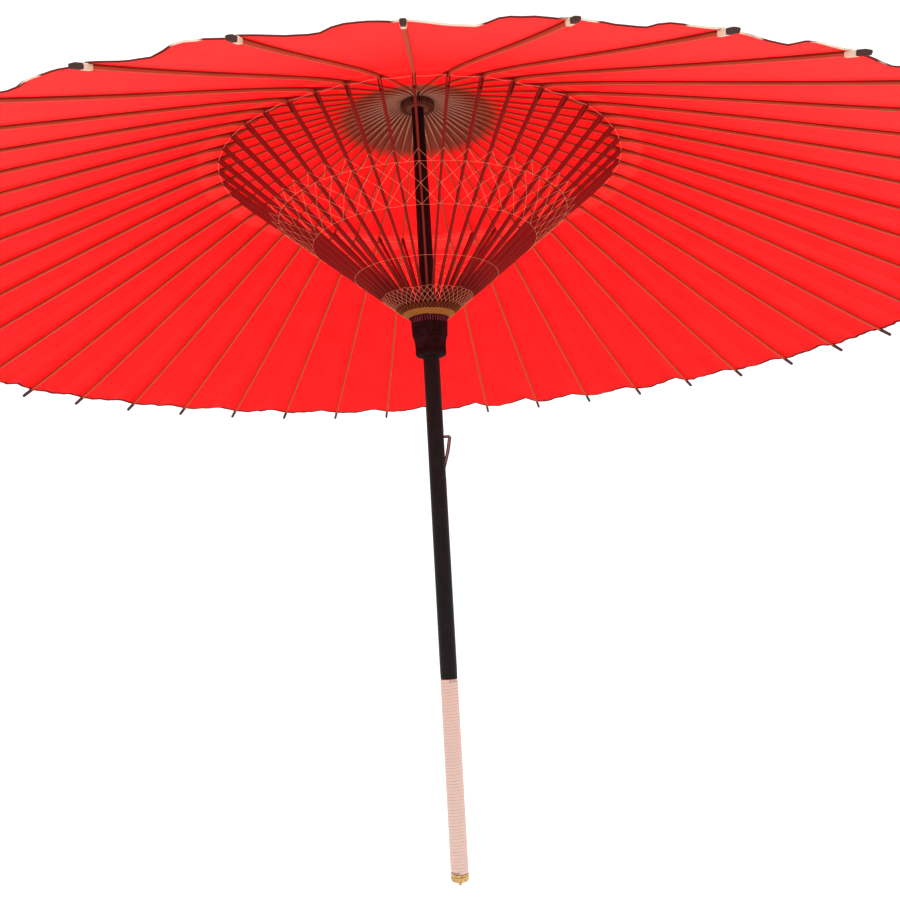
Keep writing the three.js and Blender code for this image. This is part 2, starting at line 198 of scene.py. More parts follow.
class Look:
    """One procedural material: a Principled shader and the nodes that feed it."""

    def __init__(self, name, **sockets):
        self.material = bpy.data.materials.new(name)
        self.material.use_nodes = True
        self.tree = self.material.node_tree
        self.shader = self.tree.nodes["Principled BSDF"]
        self.set(**sockets)

    def node(self, kind, inputs=None, **settings):
        made = self.tree.nodes.new(kind)
        for key, value in settings.items():
            setattr(made, key, value)
        for key, value in (inputs or {}).items():
            self.feed(made.inputs[key], value)
        return made

    def feed(self, socket, value):
        if isinstance(value, bpy.types.NodeSocket):
            self.tree.links.new(value, socket)
        else:
            socket.default_value = value

    def place(self, kind="UV", scale=(1, 1, 1)):
        """Coordinates: UV is (round, along) or the plan of the paper, Object is the shared frame."""
        source = self.node("ShaderNodeTexCoord").outputs[kind]
        return self.node("ShaderNodeMapping", {"Vector": source, "Scale": scale}).outputs["Vector"]

    def noise(self, place, scale, detail=4.0, roughness=0.55, distortion=0.0):
        inputs = {"Vector": place, "Scale": scale, "Detail": detail, "Roughness": roughness,
                  "Distortion": distortion}
        return self.node("ShaderNodeTexNoise", inputs).outputs["Fac"]

    def mix(self, factor, first, second):
        made = self.node("ShaderNodeMix", data_type="RGBA")
        self.feed(made.inputs["Factor"], factor)
        for socket, value in ((made.inputs[6], first), (made.inputs[7], second)):
            self.feed(socket, (*value, 1) if isinstance(value, tuple) and len(value) == 3 else value)
        return made.outputs[2]

    def maths(self, operation, first, second=0.0):
        made = self.node("ShaderNodeMath", operation=operation)
        self.feed(made.inputs[0], first)
        self.feed(made.inputs[1], second)
        return made.outputs[0]

    def between(self, value, low, high, to_low=0.0, to_high=1.0):
        inputs = {"Value": value, "From Min": low, "From Max": high, "To Min": to_low, "To Max": to_high}
        return self.node("ShaderNodeMapRange", inputs).outputs["Result"]

    def bump(self, height, strength, distance):
        inputs = {"Height": height, "Strength": strength, "Distance": distance}
        normal = self.node("ShaderNodeBump", inputs).outputs["Normal"]
        self.feed(self.shader.inputs["Normal"], normal)
        return normal

    def ragged_radius(self, plan):
        """Distance from the shaft in the plan, uneven by a few millimetres."""
        length = self.node("ShaderNodeVectorMath", {0: plan}, operation="LENGTH").outputs["Value"]
        return self.maths("ADD", length, self.maths("MULTIPLY", self.noise(plan, 60.0), 0.012))

    def let_through(self, colour, normal, share):
        """Mixes in a translucent shader, so a thin sheet glows when it is lit from its other side."""
        thin = self.node("ShaderNodeBsdfTranslucent", {"Color": colour, "Normal": normal})
        both = self.node("ShaderNodeMixShader", {"Fac": share})
        self.tree.links.new(self.shader.outputs["BSDF"], both.inputs[1])
        self.tree.links.new(thin.outputs["BSDF"], both.inputs[2])
        self.tree.links.new(both.outputs["Shader"], self.tree.nodes["Material Output"].inputs["Surface"])

    def set(self, **sockets):
        for socket, value in sockets.items():
            self.feed(self.shader.inputs[socket.replace("_", " ")], value)


def bamboo_look(name, dark, light, roughness, shine, root_colour=None):
    """Split bamboo: long fibres and faint blotches; the last colour, if given, is the colour of the first 50
    mm: painted shade on the stretchers, where they crowd together near the runner, and a pale tan on the
    ribs.
    """
    look = Look(name, Specular_IOR_Level=shine)
    fibres = look.noise(look.place(scale=(1800, 26, 1)), 1.0, 5.0, 0.6)
    blotches = look.noise(look.place(scale=(60, 14, 1)), 1.0, 3.0)
    colour = look.mix(fibres, dark, light)
    colour = look.mix(look.between(blotches, 0.35, 0.7), colour, look.mix(0.35, colour, dark))
    if root_colour:
        along = look.node("ShaderNodeSeparateXYZ", {"Vector": look.place()}).outputs["Y"]
        colour = look.mix(look.between(along, 0.065, 0.030, 0.0, 0.8), colour, root_colour)
    look.set(Base_Color=colour, Roughness=look.between(fibres, 0.3, 0.7, roughness - 0.08, roughness + 0.1))
    look.bump(fibres, 0.35, 0.0004)
    return look.material


def lacquer_look(name, dark, light, roughness, shine=0.12):
    """Lacquer brushed on turned wood: fine turning marks and faint wear."""
    look = Look(name, Coat_Weight=0.4 * shine, Coat_Roughness=0.2, Specular_IOR_Level=shine)
    marks = look.noise(look.place("Object", (30, 30, 2600)), 1.0, 3.0)
    wear = look.noise(look.place("Object", (160, 160, 90)), 1.0, 5.0, 0.65)
    look.set(Base_Color=look.mix(look.between(wear, 0.42, 0.72), dark, light),
             Roughness=look.between(wear, 0.3, 0.75, roughness, roughness + 0.22))
    look.bump(look.maths("ADD", marks, look.maths("MULTIPLY", wear, 0.6)), 0.18, 0.0004)
    return look.material


def thread_look(name, dark, light):
    """Twisted cotton: a slanting twist along the thread."""
    look = Look(name, Roughness=0.8, Sheen_Weight=0.02, Specular_IOR_Level=0.05)
    twist = look.node("ShaderNodeTexWave", {"Vector": look.place(scale=(1600, 1600, 1)), "Scale": 0.6,
                                            "Distortion": 0.6}, bands_direction="DIAGONAL").outputs["Fac"]
    look.set(Base_Color=look.mix(twist, dark, light))
    look.bump(twist, 0.5, 0.0002)
    return look.material


def rim_look():
    """The thread in the hem: dark, with pale lengths where the paper has worn off."""
    look = Look("rim_thread", Roughness=0.8, Specular_IOR_Level=0.05)
    place = look.place("Object")
    worn = look.between(look.noise(place, 24.0, 2.0, 0.4), 0.56, 0.60)
    fibres = look.noise(place, 900.0, 4.0, 0.6)
    look.set(Base_Color=look.mix(worn, look.mix(fibres, (0.06, 0.006, 0.005), (0.18, 0.020, 0.015)),
                                 look.mix(fibres, (0.48, 0.34, 0.26), (0.80, 0.66, 0.52))))
    look.bump(fibres, 0.4, 0.0002)
    return look.material


def paper_look():
    """Oiled paper: fibres, crumple and faint mottling; brown under the cap from its glue, darker at the back
    as painted shade of the cap; paler in front as painted light.
    """
    look = Look("oiled_paper", Roughness=0.55, Specular_IOR_Level=0.12)
    plan = look.place()
    radius = look.ragged_radius(plan)
    fibres = look.noise(plan, 420.0, 6.0, 0.7, 1.2)
    clouds = look.noise(plan, 26.0, 4.0, 0.6)
    specks = look.noise(plan, 95.0, 2.0, 0.4)
    base = look.mix(look.between(clouds, 0.3, 0.7), (0.80, 0.002, 0.0025), (0.92, 0.005, 0.0055))
    base = look.mix(look.between(fibres, 0.45, 0.7, 0.0, 0.4), base, (0.95, 0.012, 0.011))
    base = look.mix(look.between(specks, 0.72, 0.78, 0.0, 0.4), base, (0.55, 0.002, 0.002))
    band_in = look.between(radius, KNUCKLE_RADIUS + 0.001, KNUCKLE_RADIUS + 0.004)
    band_out = look.between(radius, KNUCKLE_RADIUS + 0.028, KNUCKLE_RADIUS + 0.024)
    band = look.maths("MULTIPLY", band_in, band_out)
    base = look.mix(look.maths("MULTIPLY", band, 0.14), base, (1.0, 0.075, 0.05))
    # Under the cap the paper is brown from the glue; towards the back it is darker still, painted shade of
    # the cap seen through the paper.
    glue_and_shade = look.between(radius, CROWN_RADIUS + 0.004, CROWN_RADIUS - 0.010)
    front = look.node("ShaderNodeSeparateXYZ", {"Vector": plan}).outputs["Y"]
    glue_stain_and_shade = look.mix(look.between(front, -0.02, 0.03), (0.52, 0.125, 0.070), (0.30, 0.066, 0.036))
    base = look.mix(look.maths("MULTIPLY", glue_and_shade, 0.95), base, glue_stain_and_shade)
    # Painted light: towards -Y, in front, the paper is mixed towards a paler red.
    front_painted_light = look.between(look.maths("ADD", front, look.maths("MULTIPLY", clouds, 0.15)), -0.05, -0.42)
    base = look.mix(look.maths("MULTIPLY", front_painted_light, 0.9), base, (0.93, 0.022, 0.020))
    look.set(Base_Color=base)
    normal = look.bump(look.maths("ADD", fibres, look.maths("MULTIPLY", clouds, 1.5)), 0.25, 0.0006)
    look.let_through(base, normal, 0.62)
    return look.material


def crown_look(name, through=0.0):
    """Dark lacquered paper, dull in the folds; a thin one lets light through, more at its hem."""
    look = Look(name, Coat_Weight=0.3, Coat_Roughness=0.3, Specular_IOR_Level=0.4)
    crumple = look.noise(look.place("Object"), 120.0, 5.0, 0.6)
    look.set(Base_Color=look.mix(crumple, (0.016, 0.008, 0.007), (0.05, 0.024, 0.018)),
             Roughness=look.between(crumple, 0.3, 0.7, 0.4, 0.65))
    normal = look.bump(crumple, 0.5, 0.0012)
    if through:
        radius = look.ragged_radius(look.place())
        hem = look.between(radius, CROWN_RADIUS - 0.008, CROWN_RADIUS + 0.004)
        colour = look.mix(crumple, (0.55, 0.38, 0.32), (0.75, 0.55, 0.46))
        colour = look.mix(hem, colour, (0.80, 0.45, 0.38))
        look.let_through(colour, normal, look.between(hem, 0.0, 1.0, through, 0.8))
    return look.material


def cane_look():
    """Split cane: pale pinkish skin, long fibres, darker where the turns meet."""
    look = Look("cane", Coat_Weight=0.15, Coat_Roughness=0.35, Specular_IOR_Level=0.4)
    fibres = look.noise(look.place(scale=(2600, 60, 1)), 1.0, 4.0, 0.6)
    blotches = look.noise(look.place("Object"), 90.0, 4.0, 0.6)
    colour = look.mix(fibres, (0.48, 0.355, 0.30), (0.60, 0.465, 0.395))
    colour = look.mix(look.between(blotches, 0.5, 0.72, 0.0, 0.4), colour, (0.64, 0.38, 0.29))
    look.set(Base_Color=colour, Roughness=look.between(fibres, 0.3, 0.7, 0.42, 0.6))
    look.bump(fibres, 0.15, 0.0002)
    return look.material


def brass_look():
    """Aged brass: dark in the hollows, brighter where it rubs."""
    look = Look("brass", Metallic=1.0)
    tarnish = look.noise(look.place("Object"), 260.0, 6.0, 0.65)
    scratches = look.noise(look.place("Object", (900, 900, 60)), 1.0, 3.0)
    look.set(Base_Color=look.mix(look.between(tarnish, 0.35, 0.7), (0.58, 0.40, 0.15), (0.20, 0.12, 0.05)),
             Roughness=look.between(tarnish, 0.3, 0.7, 0.28, 0.5))
    look.bump(look.maths("ADD", tarnish, scratches), 0.15, 0.0003)
    return look.material


LOOKS = {
    "rib": bamboo_look("bamboo", (0.24, 0.029, 0.012), (0.47, 0.072, 0.033), 0.6, 0.05,
                       (0.37, 0.19, 0.125)),
    # Painted shade: the dark look for each rib's upper flanks and top corners, where it meets the paper.
    "rib_shade_line": bamboo_look("bamboo_shade_line", (0.10, 0.010, 0.004), (0.22, 0.028, 0.012), 0.65, 0.04),
    "rib_tip": bamboo_look("bamboo_tip", (0.46, 0.30, 0.20), (0.72, 0.56, 0.42), 0.6, 0.2),
    "rib_end": bamboo_look("bamboo_end", (0.028, 0.014, 0.012), (0.085, 0.044, 0.038), 0.7, 0.03),
    # The last colour of both stretcher looks is painted shade: the bars are darker near the runner, where
    # they crowd in the lattice.
    "stretcher": bamboo_look("lacquered_edge", (0.10, 0.008, 0.006), (0.22, 0.022, 0.016), 0.6, 0.01,
                             (0.035, 0.004, 0.003)),
    "stretcher_side": bamboo_look("lacquered_side", (0.17, 0.010, 0.010), (0.31, 0.022, 0.021), 0.6, 0.02,
                                  (0.07, 0.006, 0.005)),
    "catch": bamboo_look("catch_bamboo", (0.10, 0.052, 0.050), (0.24, 0.14, 0.13), 0.45, 0.2),
    "catch_edge": bamboo_look("catch_edge", (0.012, 0.005, 0.005), (0.035, 0.014, 0.012), 0.5, 0.1),
    "lacquer": lacquer_look("black_lacquer", (0.0042, 0.0026, 0.0026), (0.0095, 0.006, 0.0058), 0.42, 0.09),
    "runner": lacquer_look("runner_lacquer", (0.012, 0.0034, 0.0040), (0.028, 0.0072, 0.0085), 0.7, 0.01),
    # Painted highlight: the lacquer between the runner's slots is a lighter purple-brown, so that the dark
    # slots show as lines.
    "teeth_painted_light": lacquer_look("slot_teeth_painted_light", (0.09, 0.016, 0.028), (0.18, 0.036, 0.056), 0.7, 0.01),
    "hub": lacquer_look("hub_wood", (0.085, 0.023, 0.014), (0.16, 0.045, 0.027), 0.8, 0.01),
    "thread": thread_look("thread", (0.55, 0.17, 0.085), (0.82, 0.32, 0.18)),
    "pink_thread": thread_look("pink_thread", (0.60, 0.11, 0.08), (0.92, 0.26, 0.20)),
    "gold_thread": thread_look("gold_thread", (0.15, 0.050, 0.008), (0.35, 0.125, 0.023)),
    "hem": bamboo_look("hem", (0.09, 0.005, 0.004), (0.24, 0.018, 0.013), 0.8, 0.01),
    "rim_thread": rim_look(),
    "paper": paper_look(),
    "crown": crown_look("crown_paper"),
    "crown_skirt": crown_look("crown_skirt_paper", 0.2),
    "cane": cane_look(),
    "brass": brass_look(),
}

# ---- mesh builders


class Build:
    """Collects vertices, faces, a UV for each face corner and a look for each face."""

    def __init__(self):
        self.points, self.faces, self.uvs, self.looks = [], [], [], []

    def face(self, start, corners, uv, look=0):
        self.faces.append([start + corner for corner in corners])
        self.uvs.append([uv[corner] for corner in corners])
        self.looks.append(look)

    def loft(self, sections, alongs, look=0, caps=True, ring=False, flank=None):
        """Skin over sections with the same number of points; ring joins the last to the first.

        flank is the look of the two flanks, above any skirt, and of the top corners of a bar with a bevelled
        section; on the ribs it is painted shade beside the paper.
        """
        count, sides = len(sections), len(sections[0])
        edge = (sections[0][1] - sections[0][0]).length
        uv = [(side * edge, along) for along in alongs for side in range(sides)]
        looks = look if callable(look) else (lambda along: look)
        start = len(self.points)
        self.points += [point for section in sections for point in section]
        for row in range(count if ring else count - 1):
            above = (row + 1) % count
            shown = looks((alongs[row] + alongs[above]) / 2)
            for side in range(sides):
                after = (side + 1) % sides
                corners = [row * sides + side, row * sides + after,
                           above * sides + after, above * sides + side]
                on_flank = flank and not shown and side in (3, 4, 6, 7)
                self.face(start, corners, uv, flank if on_flank else shown)
        if caps and not ring:
            for row, order in ((0, range(sides - 1, -1, -1)), (count - 1, range(sides))):
                self.face(start, [row * sides + side for side in order], uv, looks(alongs[row]))

    def tube(self, path, radius, sides=6, look=0, ring=False):
        """A round thread along a path."""
        sections, alongs, length = [], [], 0.0
        count = len(path)
        for index, point in enumerate(path):
            before = path[index - 1] if ring or index else point
            after = path[(index + 1) % count] if ring or index < count - 1 else point
            ahead = (after - before).normalized()
            side = ahead.cross(UP)
            side = side.normalized() if side.length > 1e-6 else Vector((1, 0, 0))
            top = side.cross(ahead)
            sections.append([point + side * (radius * math.cos(turn)) + top * (radius * math.sin(turn))
                             for turn in turns_in(sides)])
            if index:
                length += (point - path[index - 1]).length
            alongs.append(length)
        self.loft(sections, alongs, look, ring=ring)

    def lathe(self, profile, segments, closed=True):
        """Turns (radius, z) points about the shaft's axis; closed joins the last to the first."""
        sections, alongs, length = [], [], 0.0
        rings = profile + [profile[0]] if closed else profile
        for index, (radius, z) in enumerate(rings):
            if index:
                length += math.dist(rings[index - 1], (radius, z))
            sections.append([at(turn, radius, z) for turn in turns_in(segments)])
            alongs.append(length)
        if closed:
            sections.pop()
            alongs.pop()
        self.loft(sections, alongs, caps=not closed, ring=closed)

    def sheet(self, rows):
        """A sheet over rows of points. UV is the plan."""
        width = len(rows[0])
        points = [point for row in rows for point in row]
        uv = [(point.x, point.y) for point in points]
        start = len(self.points)
        self.points += points
        for row in range(len(rows) - 1):
            for corner in range(row * width, (row + 1) * width - 1):
                self.face(start, [corner, corner + width, corner + width + 1, corner + 1], uv)

    def object(self, name, *looks, smooth=40):
        mesh = bpy.data.meshes.new(name)
        mesh.from_pydata(self.points, [], self.faces)
        uv_map = mesh.uv_layers.new(name="UVMap")
        corners = [uv for face in self.uvs for uv in face]
        uv_map.data.foreach_set("uv", [number for uv in corners for number in uv])
        for look in looks:
            mesh.materials.append(LOOKS[look])
        mesh.polygons.foreach_set("material_index", self.looks)
        mesh.validate()
        outside = bmesh.new()
        outside.from_mesh(mesh)
        bmesh.ops.recalc_face_normals(outside, faces=outside.faces)
        outside.to_mesh(mesh)
        outside.free()
        mesh.polygons.foreach_set("use_smooth", [True] * len(mesh.polygons))
        mesh.set_sharp_from_angle(angle=math.radians(smooth))
        made = bpy.data.objects.new(name, mesh)
        bpy.context.scene.collection.objects.link(made)
        return made


def bevelled(width, top, bottom, corner, skirt=0.0):
    """Outline (side, up) of a bar's section with its corners taken off; skirt is the lower one's share."""
    half = width / 2
    corner = min(corner, half * 0.8)
    lower = bottom + max(corner, skirt * (top - bottom))
    return [(-half, lower), (-half + corner, bottom), (half - corner, bottom),
            (half, lower), (half, top - corner), (half - corner, top),
            (-half + corner, top), (-half, top - corner)]


def bar(build, angle, point_on, stations, look=0, shift=0.0, bow=0.0, length=1.0, flank=None, skirt=0.0):
    """A bar in the plane at an angle. Stations are (along, width, top, bottom) in millimetres."""
    sections, alongs = [], []
    for along, width, top, bottom in stations:
        lean = bow * math.sin(math.pi * along / length) + shift
        outline = bevelled(width * MM, top * MM, bottom * MM, 0.45 * MM, skirt)
        section = []
        for side, up in outline:
            radius, z = point_on(along * MM, up)
            section.append(at(angle, radius, z) + sideways(angle) * (side + lean))
        sections.append(section)
        alongs.append(along * MM)
    build.loft(sections, alongs, look, flank=flank)


def cut(target, cutters):
    """Takes the cutters' shapes away from a mesh object."""
    for cutter in cutters:
        modifier = target.modifiers.new("cut", "BOOLEAN")
        modifier.operation = "DIFFERENCE"
        modifier.solver = "EXACT"
        modifier.object = cutter
    graph = bpy.context.evaluated_depsgraph_get()
    target.data = bpy.data.meshes.new_from_object(target.evaluated_get(graph))
    target.modifiers.clear()
    for cutter in cutters:
        bpy.data.objects.remove(cutter)
    return target


def block(name, low, high, angle=0.0):
    """A plain box for cutting, turned about the shaft."""
    build = Build()
    xs, ys, zs = zip(low, high)
    sections = [[Matrix.Rotation(angle, 3, "Z") @ Vector((x, y, z))
                 for x, y in ((xs[0], ys[0]), (xs[1], ys[0]), (xs[1], ys[1]), (xs[0], ys[1]))]
                for z in zs]
    build.loft(sections, list(zs))
    return build.object(name, "lacquer")


# ---- ribs


# (distance from the hinge, value) in millimetres; depths are below the hinge line
RIB_WIDTHS = [(12, 0.8), (20, 1.9), (60, 2.1), (192, 2.2), (197, 1.3), (212, 1.3), (216, 2.5), (300, 3.0),
              (582, 3.1), (585, 3.5), (601, 3.3)]
RIB_DEPTHS = [(-2.4, 0.9), (0, 1.4), (30, 0.8), (186, 0.8), (197, 3.6), (210, 3.6), (222, 1.9), (300, 1.4),
              (450, 1.2), (582, 1.2), (585, 1.9), (601, 1.7)]
TIP_FROM = 584 * MM  # along the rib, where it leaves the paper
FRONT_TIP_FROM = 593 * MM  # the same for the dark end of the ribs in front, which are pale before it


def rib_stations(chance):
    """Along, width, top and bottom in millimetres, from the hinge tongue to the tip."""
    stops = [-2.4, -1.2, 0, 3, 8, 18, 30, 60, 90, 120, 155, 186, 192, 197, 205, 210, 216, 222, 240, 270,
             300, 340, 380, 420, 460, 500, 540, 570, 582, 585, 593, 599, 600.4, 601]
    stations = []
    for along in stops:
        wobble = 1 + 0.05 * math.sin(along / 37 + chance) if along > 30 else 1
        upper = RIB_TOP / MM - (0.4 if 0 < along < 600 else 0.8)
        depth = blend_table(RIB_DEPTHS, along) * wobble
        stations.append((along, blend_table(RIB_WIDTHS, along), upper, -depth))
    return stations


def make_rib(index, seed):
    angle = angle_of(index)
    build = Build()
    bow = seed.uniform(-0.9, 0.9) * MM
    # Painted shade: the ribs at the back are dark from where they leave the paper, while those in front are
    # pale tan there first.
    dark_from = FRONT_TIP_FROM if math.cos(angle) > 0.3 else TIP_FROM

    def shown(along):
        if along > dark_from:
            return 3
        return 2 if along > TIP_FROM else 0

    # The upper flanks and top corners take look 1, painted shade where the rib meets the paper.
    bar(build, angle, on_rib, rib_stations(seed.uniform(0, 6)), shown, bow=bow, length=RIB_LENGTH / MM,
        flank=1, skirt=0.5)
    rib = build.object(f"bamboo_{RIB_NAMES[index]}", "rib", "rib_shade_line", "rib_tip", "rib_end")
    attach(rib, RIB_NAMES[index])
    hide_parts(RIB_NAMES[index])


# ---- stretchers

# (distance from the runner's hinge, value) in millimetres
BAR_WIDTHS = [(7, 0.8), (9, 1.6), (16, 2.5), (30, 3.0), (46, 2.6), (80, 2.0), (150, 2.0), (240, 2.4)]
BAR_DEPTHS = [(4, 1.2), (16, 1.9), (60, 2.3), (240, 2.5)]  # half of the depth


def make_stretcher(index, seed):
    """A lacquered bar whose two prongs clasp the rib's neck."""
    angle = angle_of(index)
    build = Build()
    neck = stretcher_end(0, 11 * MM) / MM
    stops = [-1.0, -0.4, 2, 7, 9, 12, 16, 22, 30, 38, 46, 60, 80, 110, 150, 195, neck]
    stations = [(along, blend_table(BAR_WIDTHS, along), blend_table(BAR_DEPTHS, along),
                 -blend_table(BAR_DEPTHS, along)) for along in stops]
    bow = seed.uniform(-0.6, 0.6) * MM
    bar(build, angle, on_stretcher, stations, bow=bow, length=neck, flank=1)
    half = blend_table(BAR_DEPTHS, neck)
    top = stretcher_end(half * MM, -0.3 * MM) / MM
    bottom = stretcher_end(-half * MM, 3.2 * MM) / MM
    for side in (-1, 1):
        prong = [(neck - 2, 0.95, half - 0.1, -half + 0.1), (top - 4, 0.95, half - 0.2, -half + 0.2),
                 (top, 0.85, half - 0.6, -half + 0.4), (bottom, 0.7, half - 2.6, -half + 1.0)]
        bar(build, angle, on_stretcher, prong, shift=side * 1.25 * MM, flank=1)
    piece = build.object(f"stretcher_{index + 1:02d}", "stretcher", "stretcher_side")
    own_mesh(piece)
    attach(piece, "runner")
    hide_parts("stretcher_cage")


# ---- decorative threads

THREAD = 0.13 * MM  # radius
LATTICE_SPAN = 3  # gaps that a lattice thread crosses between its edges
# Distances from the runner's hinge along the stretchers, in millimetres
WRAP_FROM, WRAP_TO = 7, 14.8
LATTICE_TOP = 39.5
RING = 75.5
BAND_LOW, BAND_HIGH = 129, 172


def thread_side(along):
    """Height of a thread's middle on the outer edge of a stretcher, at a distance in millimetres."""
    return -blend_table(BAR_DEPTHS, along) * MM - THREAD


def thread_point(index, across, along):
    """A point between stretcher index and the next, on the straight line between them."""
    radius, z = on_stretcher(along * MM, thread_side(along))
    first, second = at(angle_of(index), radius, z), at(angle_of(index + 1), radius, z)
    return first.lerp(second, across)


def thread_lines():
    """Lines in one gap between stretchers, as (across, along) ends; along in millimetres."""
    lines = [((0, along), (1, along)) for along in (RING, BAND_LOW, BAND_HIGH)]
    levels = [WRAP_TO + (LATTICE_TOP - WRAP_TO) * k / LATTICE_SPAN for k in range(LATTICE_SPAN + 1)]
    for low, high in zip(levels, levels[1:]):
        lines += [((0, low), (1, high)), ((1, low), (0, high))]
    middle, apex = BAND_LOW + (BAND_HIGH - BAND_LOW) / 2, BAND_HIGH + 12
    for start, end in ((0, 1), (1, 0)):
        lines.append(((start, BAND_LOW), (end, middle)))
        lines.append(((start, middle), (end, BAND_HIGH)))
        lines.append(((start, apex), (0.5, BAND_HIGH)))
    return lines


def make_thread_gap(index, seed):
    """All the decorative thread in one gap between stretchers."""
    build = Build()
    for start, end in thread_lines():
        slack = seed.uniform(0.0, 0.5) * MM
        path = []
        for k in range(5):
            point = thread_point(index, *start).lerp(thread_point(index, *end), k / 4)
            path.append(point - UP * slack * math.sin(math.pi * k / 4))
        build.tube(path, THREAD, 5, look=1 if end[1] < 1.6 * WRAP_TO else 0)
    height = seed.uniform(0.8, 2.4)
    loops = [thread_point(index, k / 6, LATTICE_TOP + height * math.sin(math.pi * k / 6)) for k in range(7)]
    build.tube(loops, THREAD, 5)
    piece = build.object(f"thread_lace_{index + 1:02d}", "thread", "gold_thread")
    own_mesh(piece)
    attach(piece, "runner")
    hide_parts("waist_thread", "ring_thread", "zigzag_thread")


def make_waist_wrap():
    """Golden thread wound side by side on the stretchers, just above the runner."""
    build = Build()
    turns = 13
    path = []
    steps = turns * 2 * RIB_COUNT
    for step in range(steps + 1):
        share = step / steps
        along = WRAP_FROM + (WRAP_TO - WRAP_FROM) * share
        radius, z = on_stretcher(along * MM, thread_side(along) - 0.12 * MM)
        path.append(at(FIRST_ANGLE + share * turns * 2 * math.pi, radius, z))
    build.tube(path, 0.36 * MM, 6)
    wrap = build.object("waist_wrap", "gold_thread")
    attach(wrap, "runner")
    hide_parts("waist_thread")


def make_knuckle_thread(index):
    """The thread through the joints, half a gap to each side of one rib, slack in between."""
    build = Build()
    radius, z = on_rib(KNUCKLE, -2.6 * MM)
    path = []
    for across in (-0.5, -0.36, -0.2, -0.06, 0.06, 0.2, 0.36, 0.5):
        gap = (index if across > 0 else index - 1) % RIB_COUNT
        slack, lean = GAP_SLACK[gap]
        share = across % 1
        drop = slack * math.sin(math.pi * share) + lean * math.sin(2 * math.pi * share)
        path.append(at(angle_of(index + across), radius, z - drop))
    build.tube(path, 0.22 * MM, 6)
    piece = build.object(f"knuckle_thread_{index + 1:02d}", "pink_thread")
    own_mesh(piece)
    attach(piece, RIB_NAMES[index])
    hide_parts("knuckle_thread")


# ---- paper

STRIP_COLUMNS = 14
SCALLOP = 1.2 * MM  # how far the rim draws in between ribs
HEM = 2.6 * MM
CREASE = 1.6 * MM  # sag of the paper between ribs
RIPPLE = 0.9 * MM
WAVES_FROM = 400 * MM  # radius where the waves of the rim begin
FRONT_WAVE = [(0, 0), (0.10, -0.8), (0.28, -2.5), (0.46, -2.2), (0.58, 2.0), (0.66, 2.5), (0.80, 1.3),
              (0.93, -0.5), (1, 0)]  # rise of the rim from rib to rib towards +X, in millimetres
BACK_WAVE = [(0, 0), (0.14, -1.6), (0.30, -0.8), (0.76, 5.6), (0.88, 2.2), (1, 0)]
CHANCE = random.Random(7)
RIM_WAVES = [(k, CHANCE.uniform(0.1, 0.35) * MM, CHANCE.uniform(0, 6.28)) for k in range(60, 240, 11)]
FACE_WAVES = [(CHANCE.uniform(-60, 60), CHANCE.uniform(-60, 60), CHANCE.uniform(0, 6.28))
              for _ in range(14)]
GAP_WAVES = [(CHANCE.uniform(0.6, 1.25), CHANCE.uniform(-0.07, 0.07)) for _ in RIB_NAMES]
GAP_SLACK = [(CHANCE.uniform(0.2, 1.8) * MM, CHANCE.uniform(-0.7, 0.7) * MM) for _ in RIB_NAMES]


def crumple(x, y):
    """A smooth, shallow unevenness over the plan."""
    return sum(math.sin(kx * x + ky * y + phase) for kx, ky, phase in FACE_WAVES) / len(FACE_WAVES)


def flute(index, across):
    """Rise of the rim in the gap beside rib index; every wave leans towards +X."""
    gap, share = (index - 1, 1 + across) if across < 0 else (index, across)
    size, shift = GAP_WAVES[gap % RIB_COUNT]
    share += shift * math.sin(math.pi * share)
    front = (1 + math.cos(angle_of(gap + 0.5))) / 2
    rise = front * blend_table(FRONT_WAVE, share) + (1 - front) * blend_table(BACK_WAVE, 1 - share)
    return size * rise * MM


def rim_radius(angle, across):
    """Radius of the worn rim; it is even over the ribs, where across is 0."""
    dip = SCALLOP * (1 - math.cos(2 * math.pi * across)) / 2
    wave = sum(size * math.sin(k * angle + phase) for k, size, phase in RIM_WAVES)
    return PAPER_RADIUS - 1.5 * MM - dip + wave * min(1, 4 * abs(across))


def paper_point(index, across, radius):
    """A point on the paper near rib index; across runs from -0.5 to 0.5 of a gap."""
    z = height_over_ribs(radius, PAPER_LIFT)
    rib = at(angle_of(index), radius, z)
    neighbour = at(angle_of(index + (1 if across > 0 else -1)), radius, z)
    point = rib.lerp(neighbour, abs(across))
    free = min(1.0, 2 * abs(across))
    sag = CREASE * free ** 2 * min(1.0, radius / 0.3)
    sag += RIPPLE * crumple(point.x, point.y) * free * min(1.0, radius / 0.2)
    near_rim = max(0.0, (radius - WAVES_FROM) / (PAPER_RADIUS - WAVES_FROM)) ** 1.6
    return point + UP * (flute(index, across) * near_rim - sag)


def paper_rows(index, count, inner, outer=None):
    """Rows of a strip of paper centred on rib index, out to the wavy rim if outer is left out."""
    shares = [(row / count) ** 0.9 for row in range(count)]
    shares += [1] if outer else [1 - HEM / (PAPER_RADIUS - inner), 1]
    rows = []
    for share in shares:
        row = []
        for column in range(STRIP_COLUMNS + 1):
            across = column / STRIP_COLUMNS - 0.5
            rim = outer or rim_radius(angle_of(index + across), across)
            row.append(paper_point(index, across, inner + (rim - inner) * share))
        rows.append(row)
    return rows


def finish_strip(build, name, index, node):
    strip = build.object(f"{name}_{index + 1:02d}", "paper", "hem", "rim_thread", smooth=70)
    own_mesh(strip)
    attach(strip, RIB_NAMES[index])
    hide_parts(node)


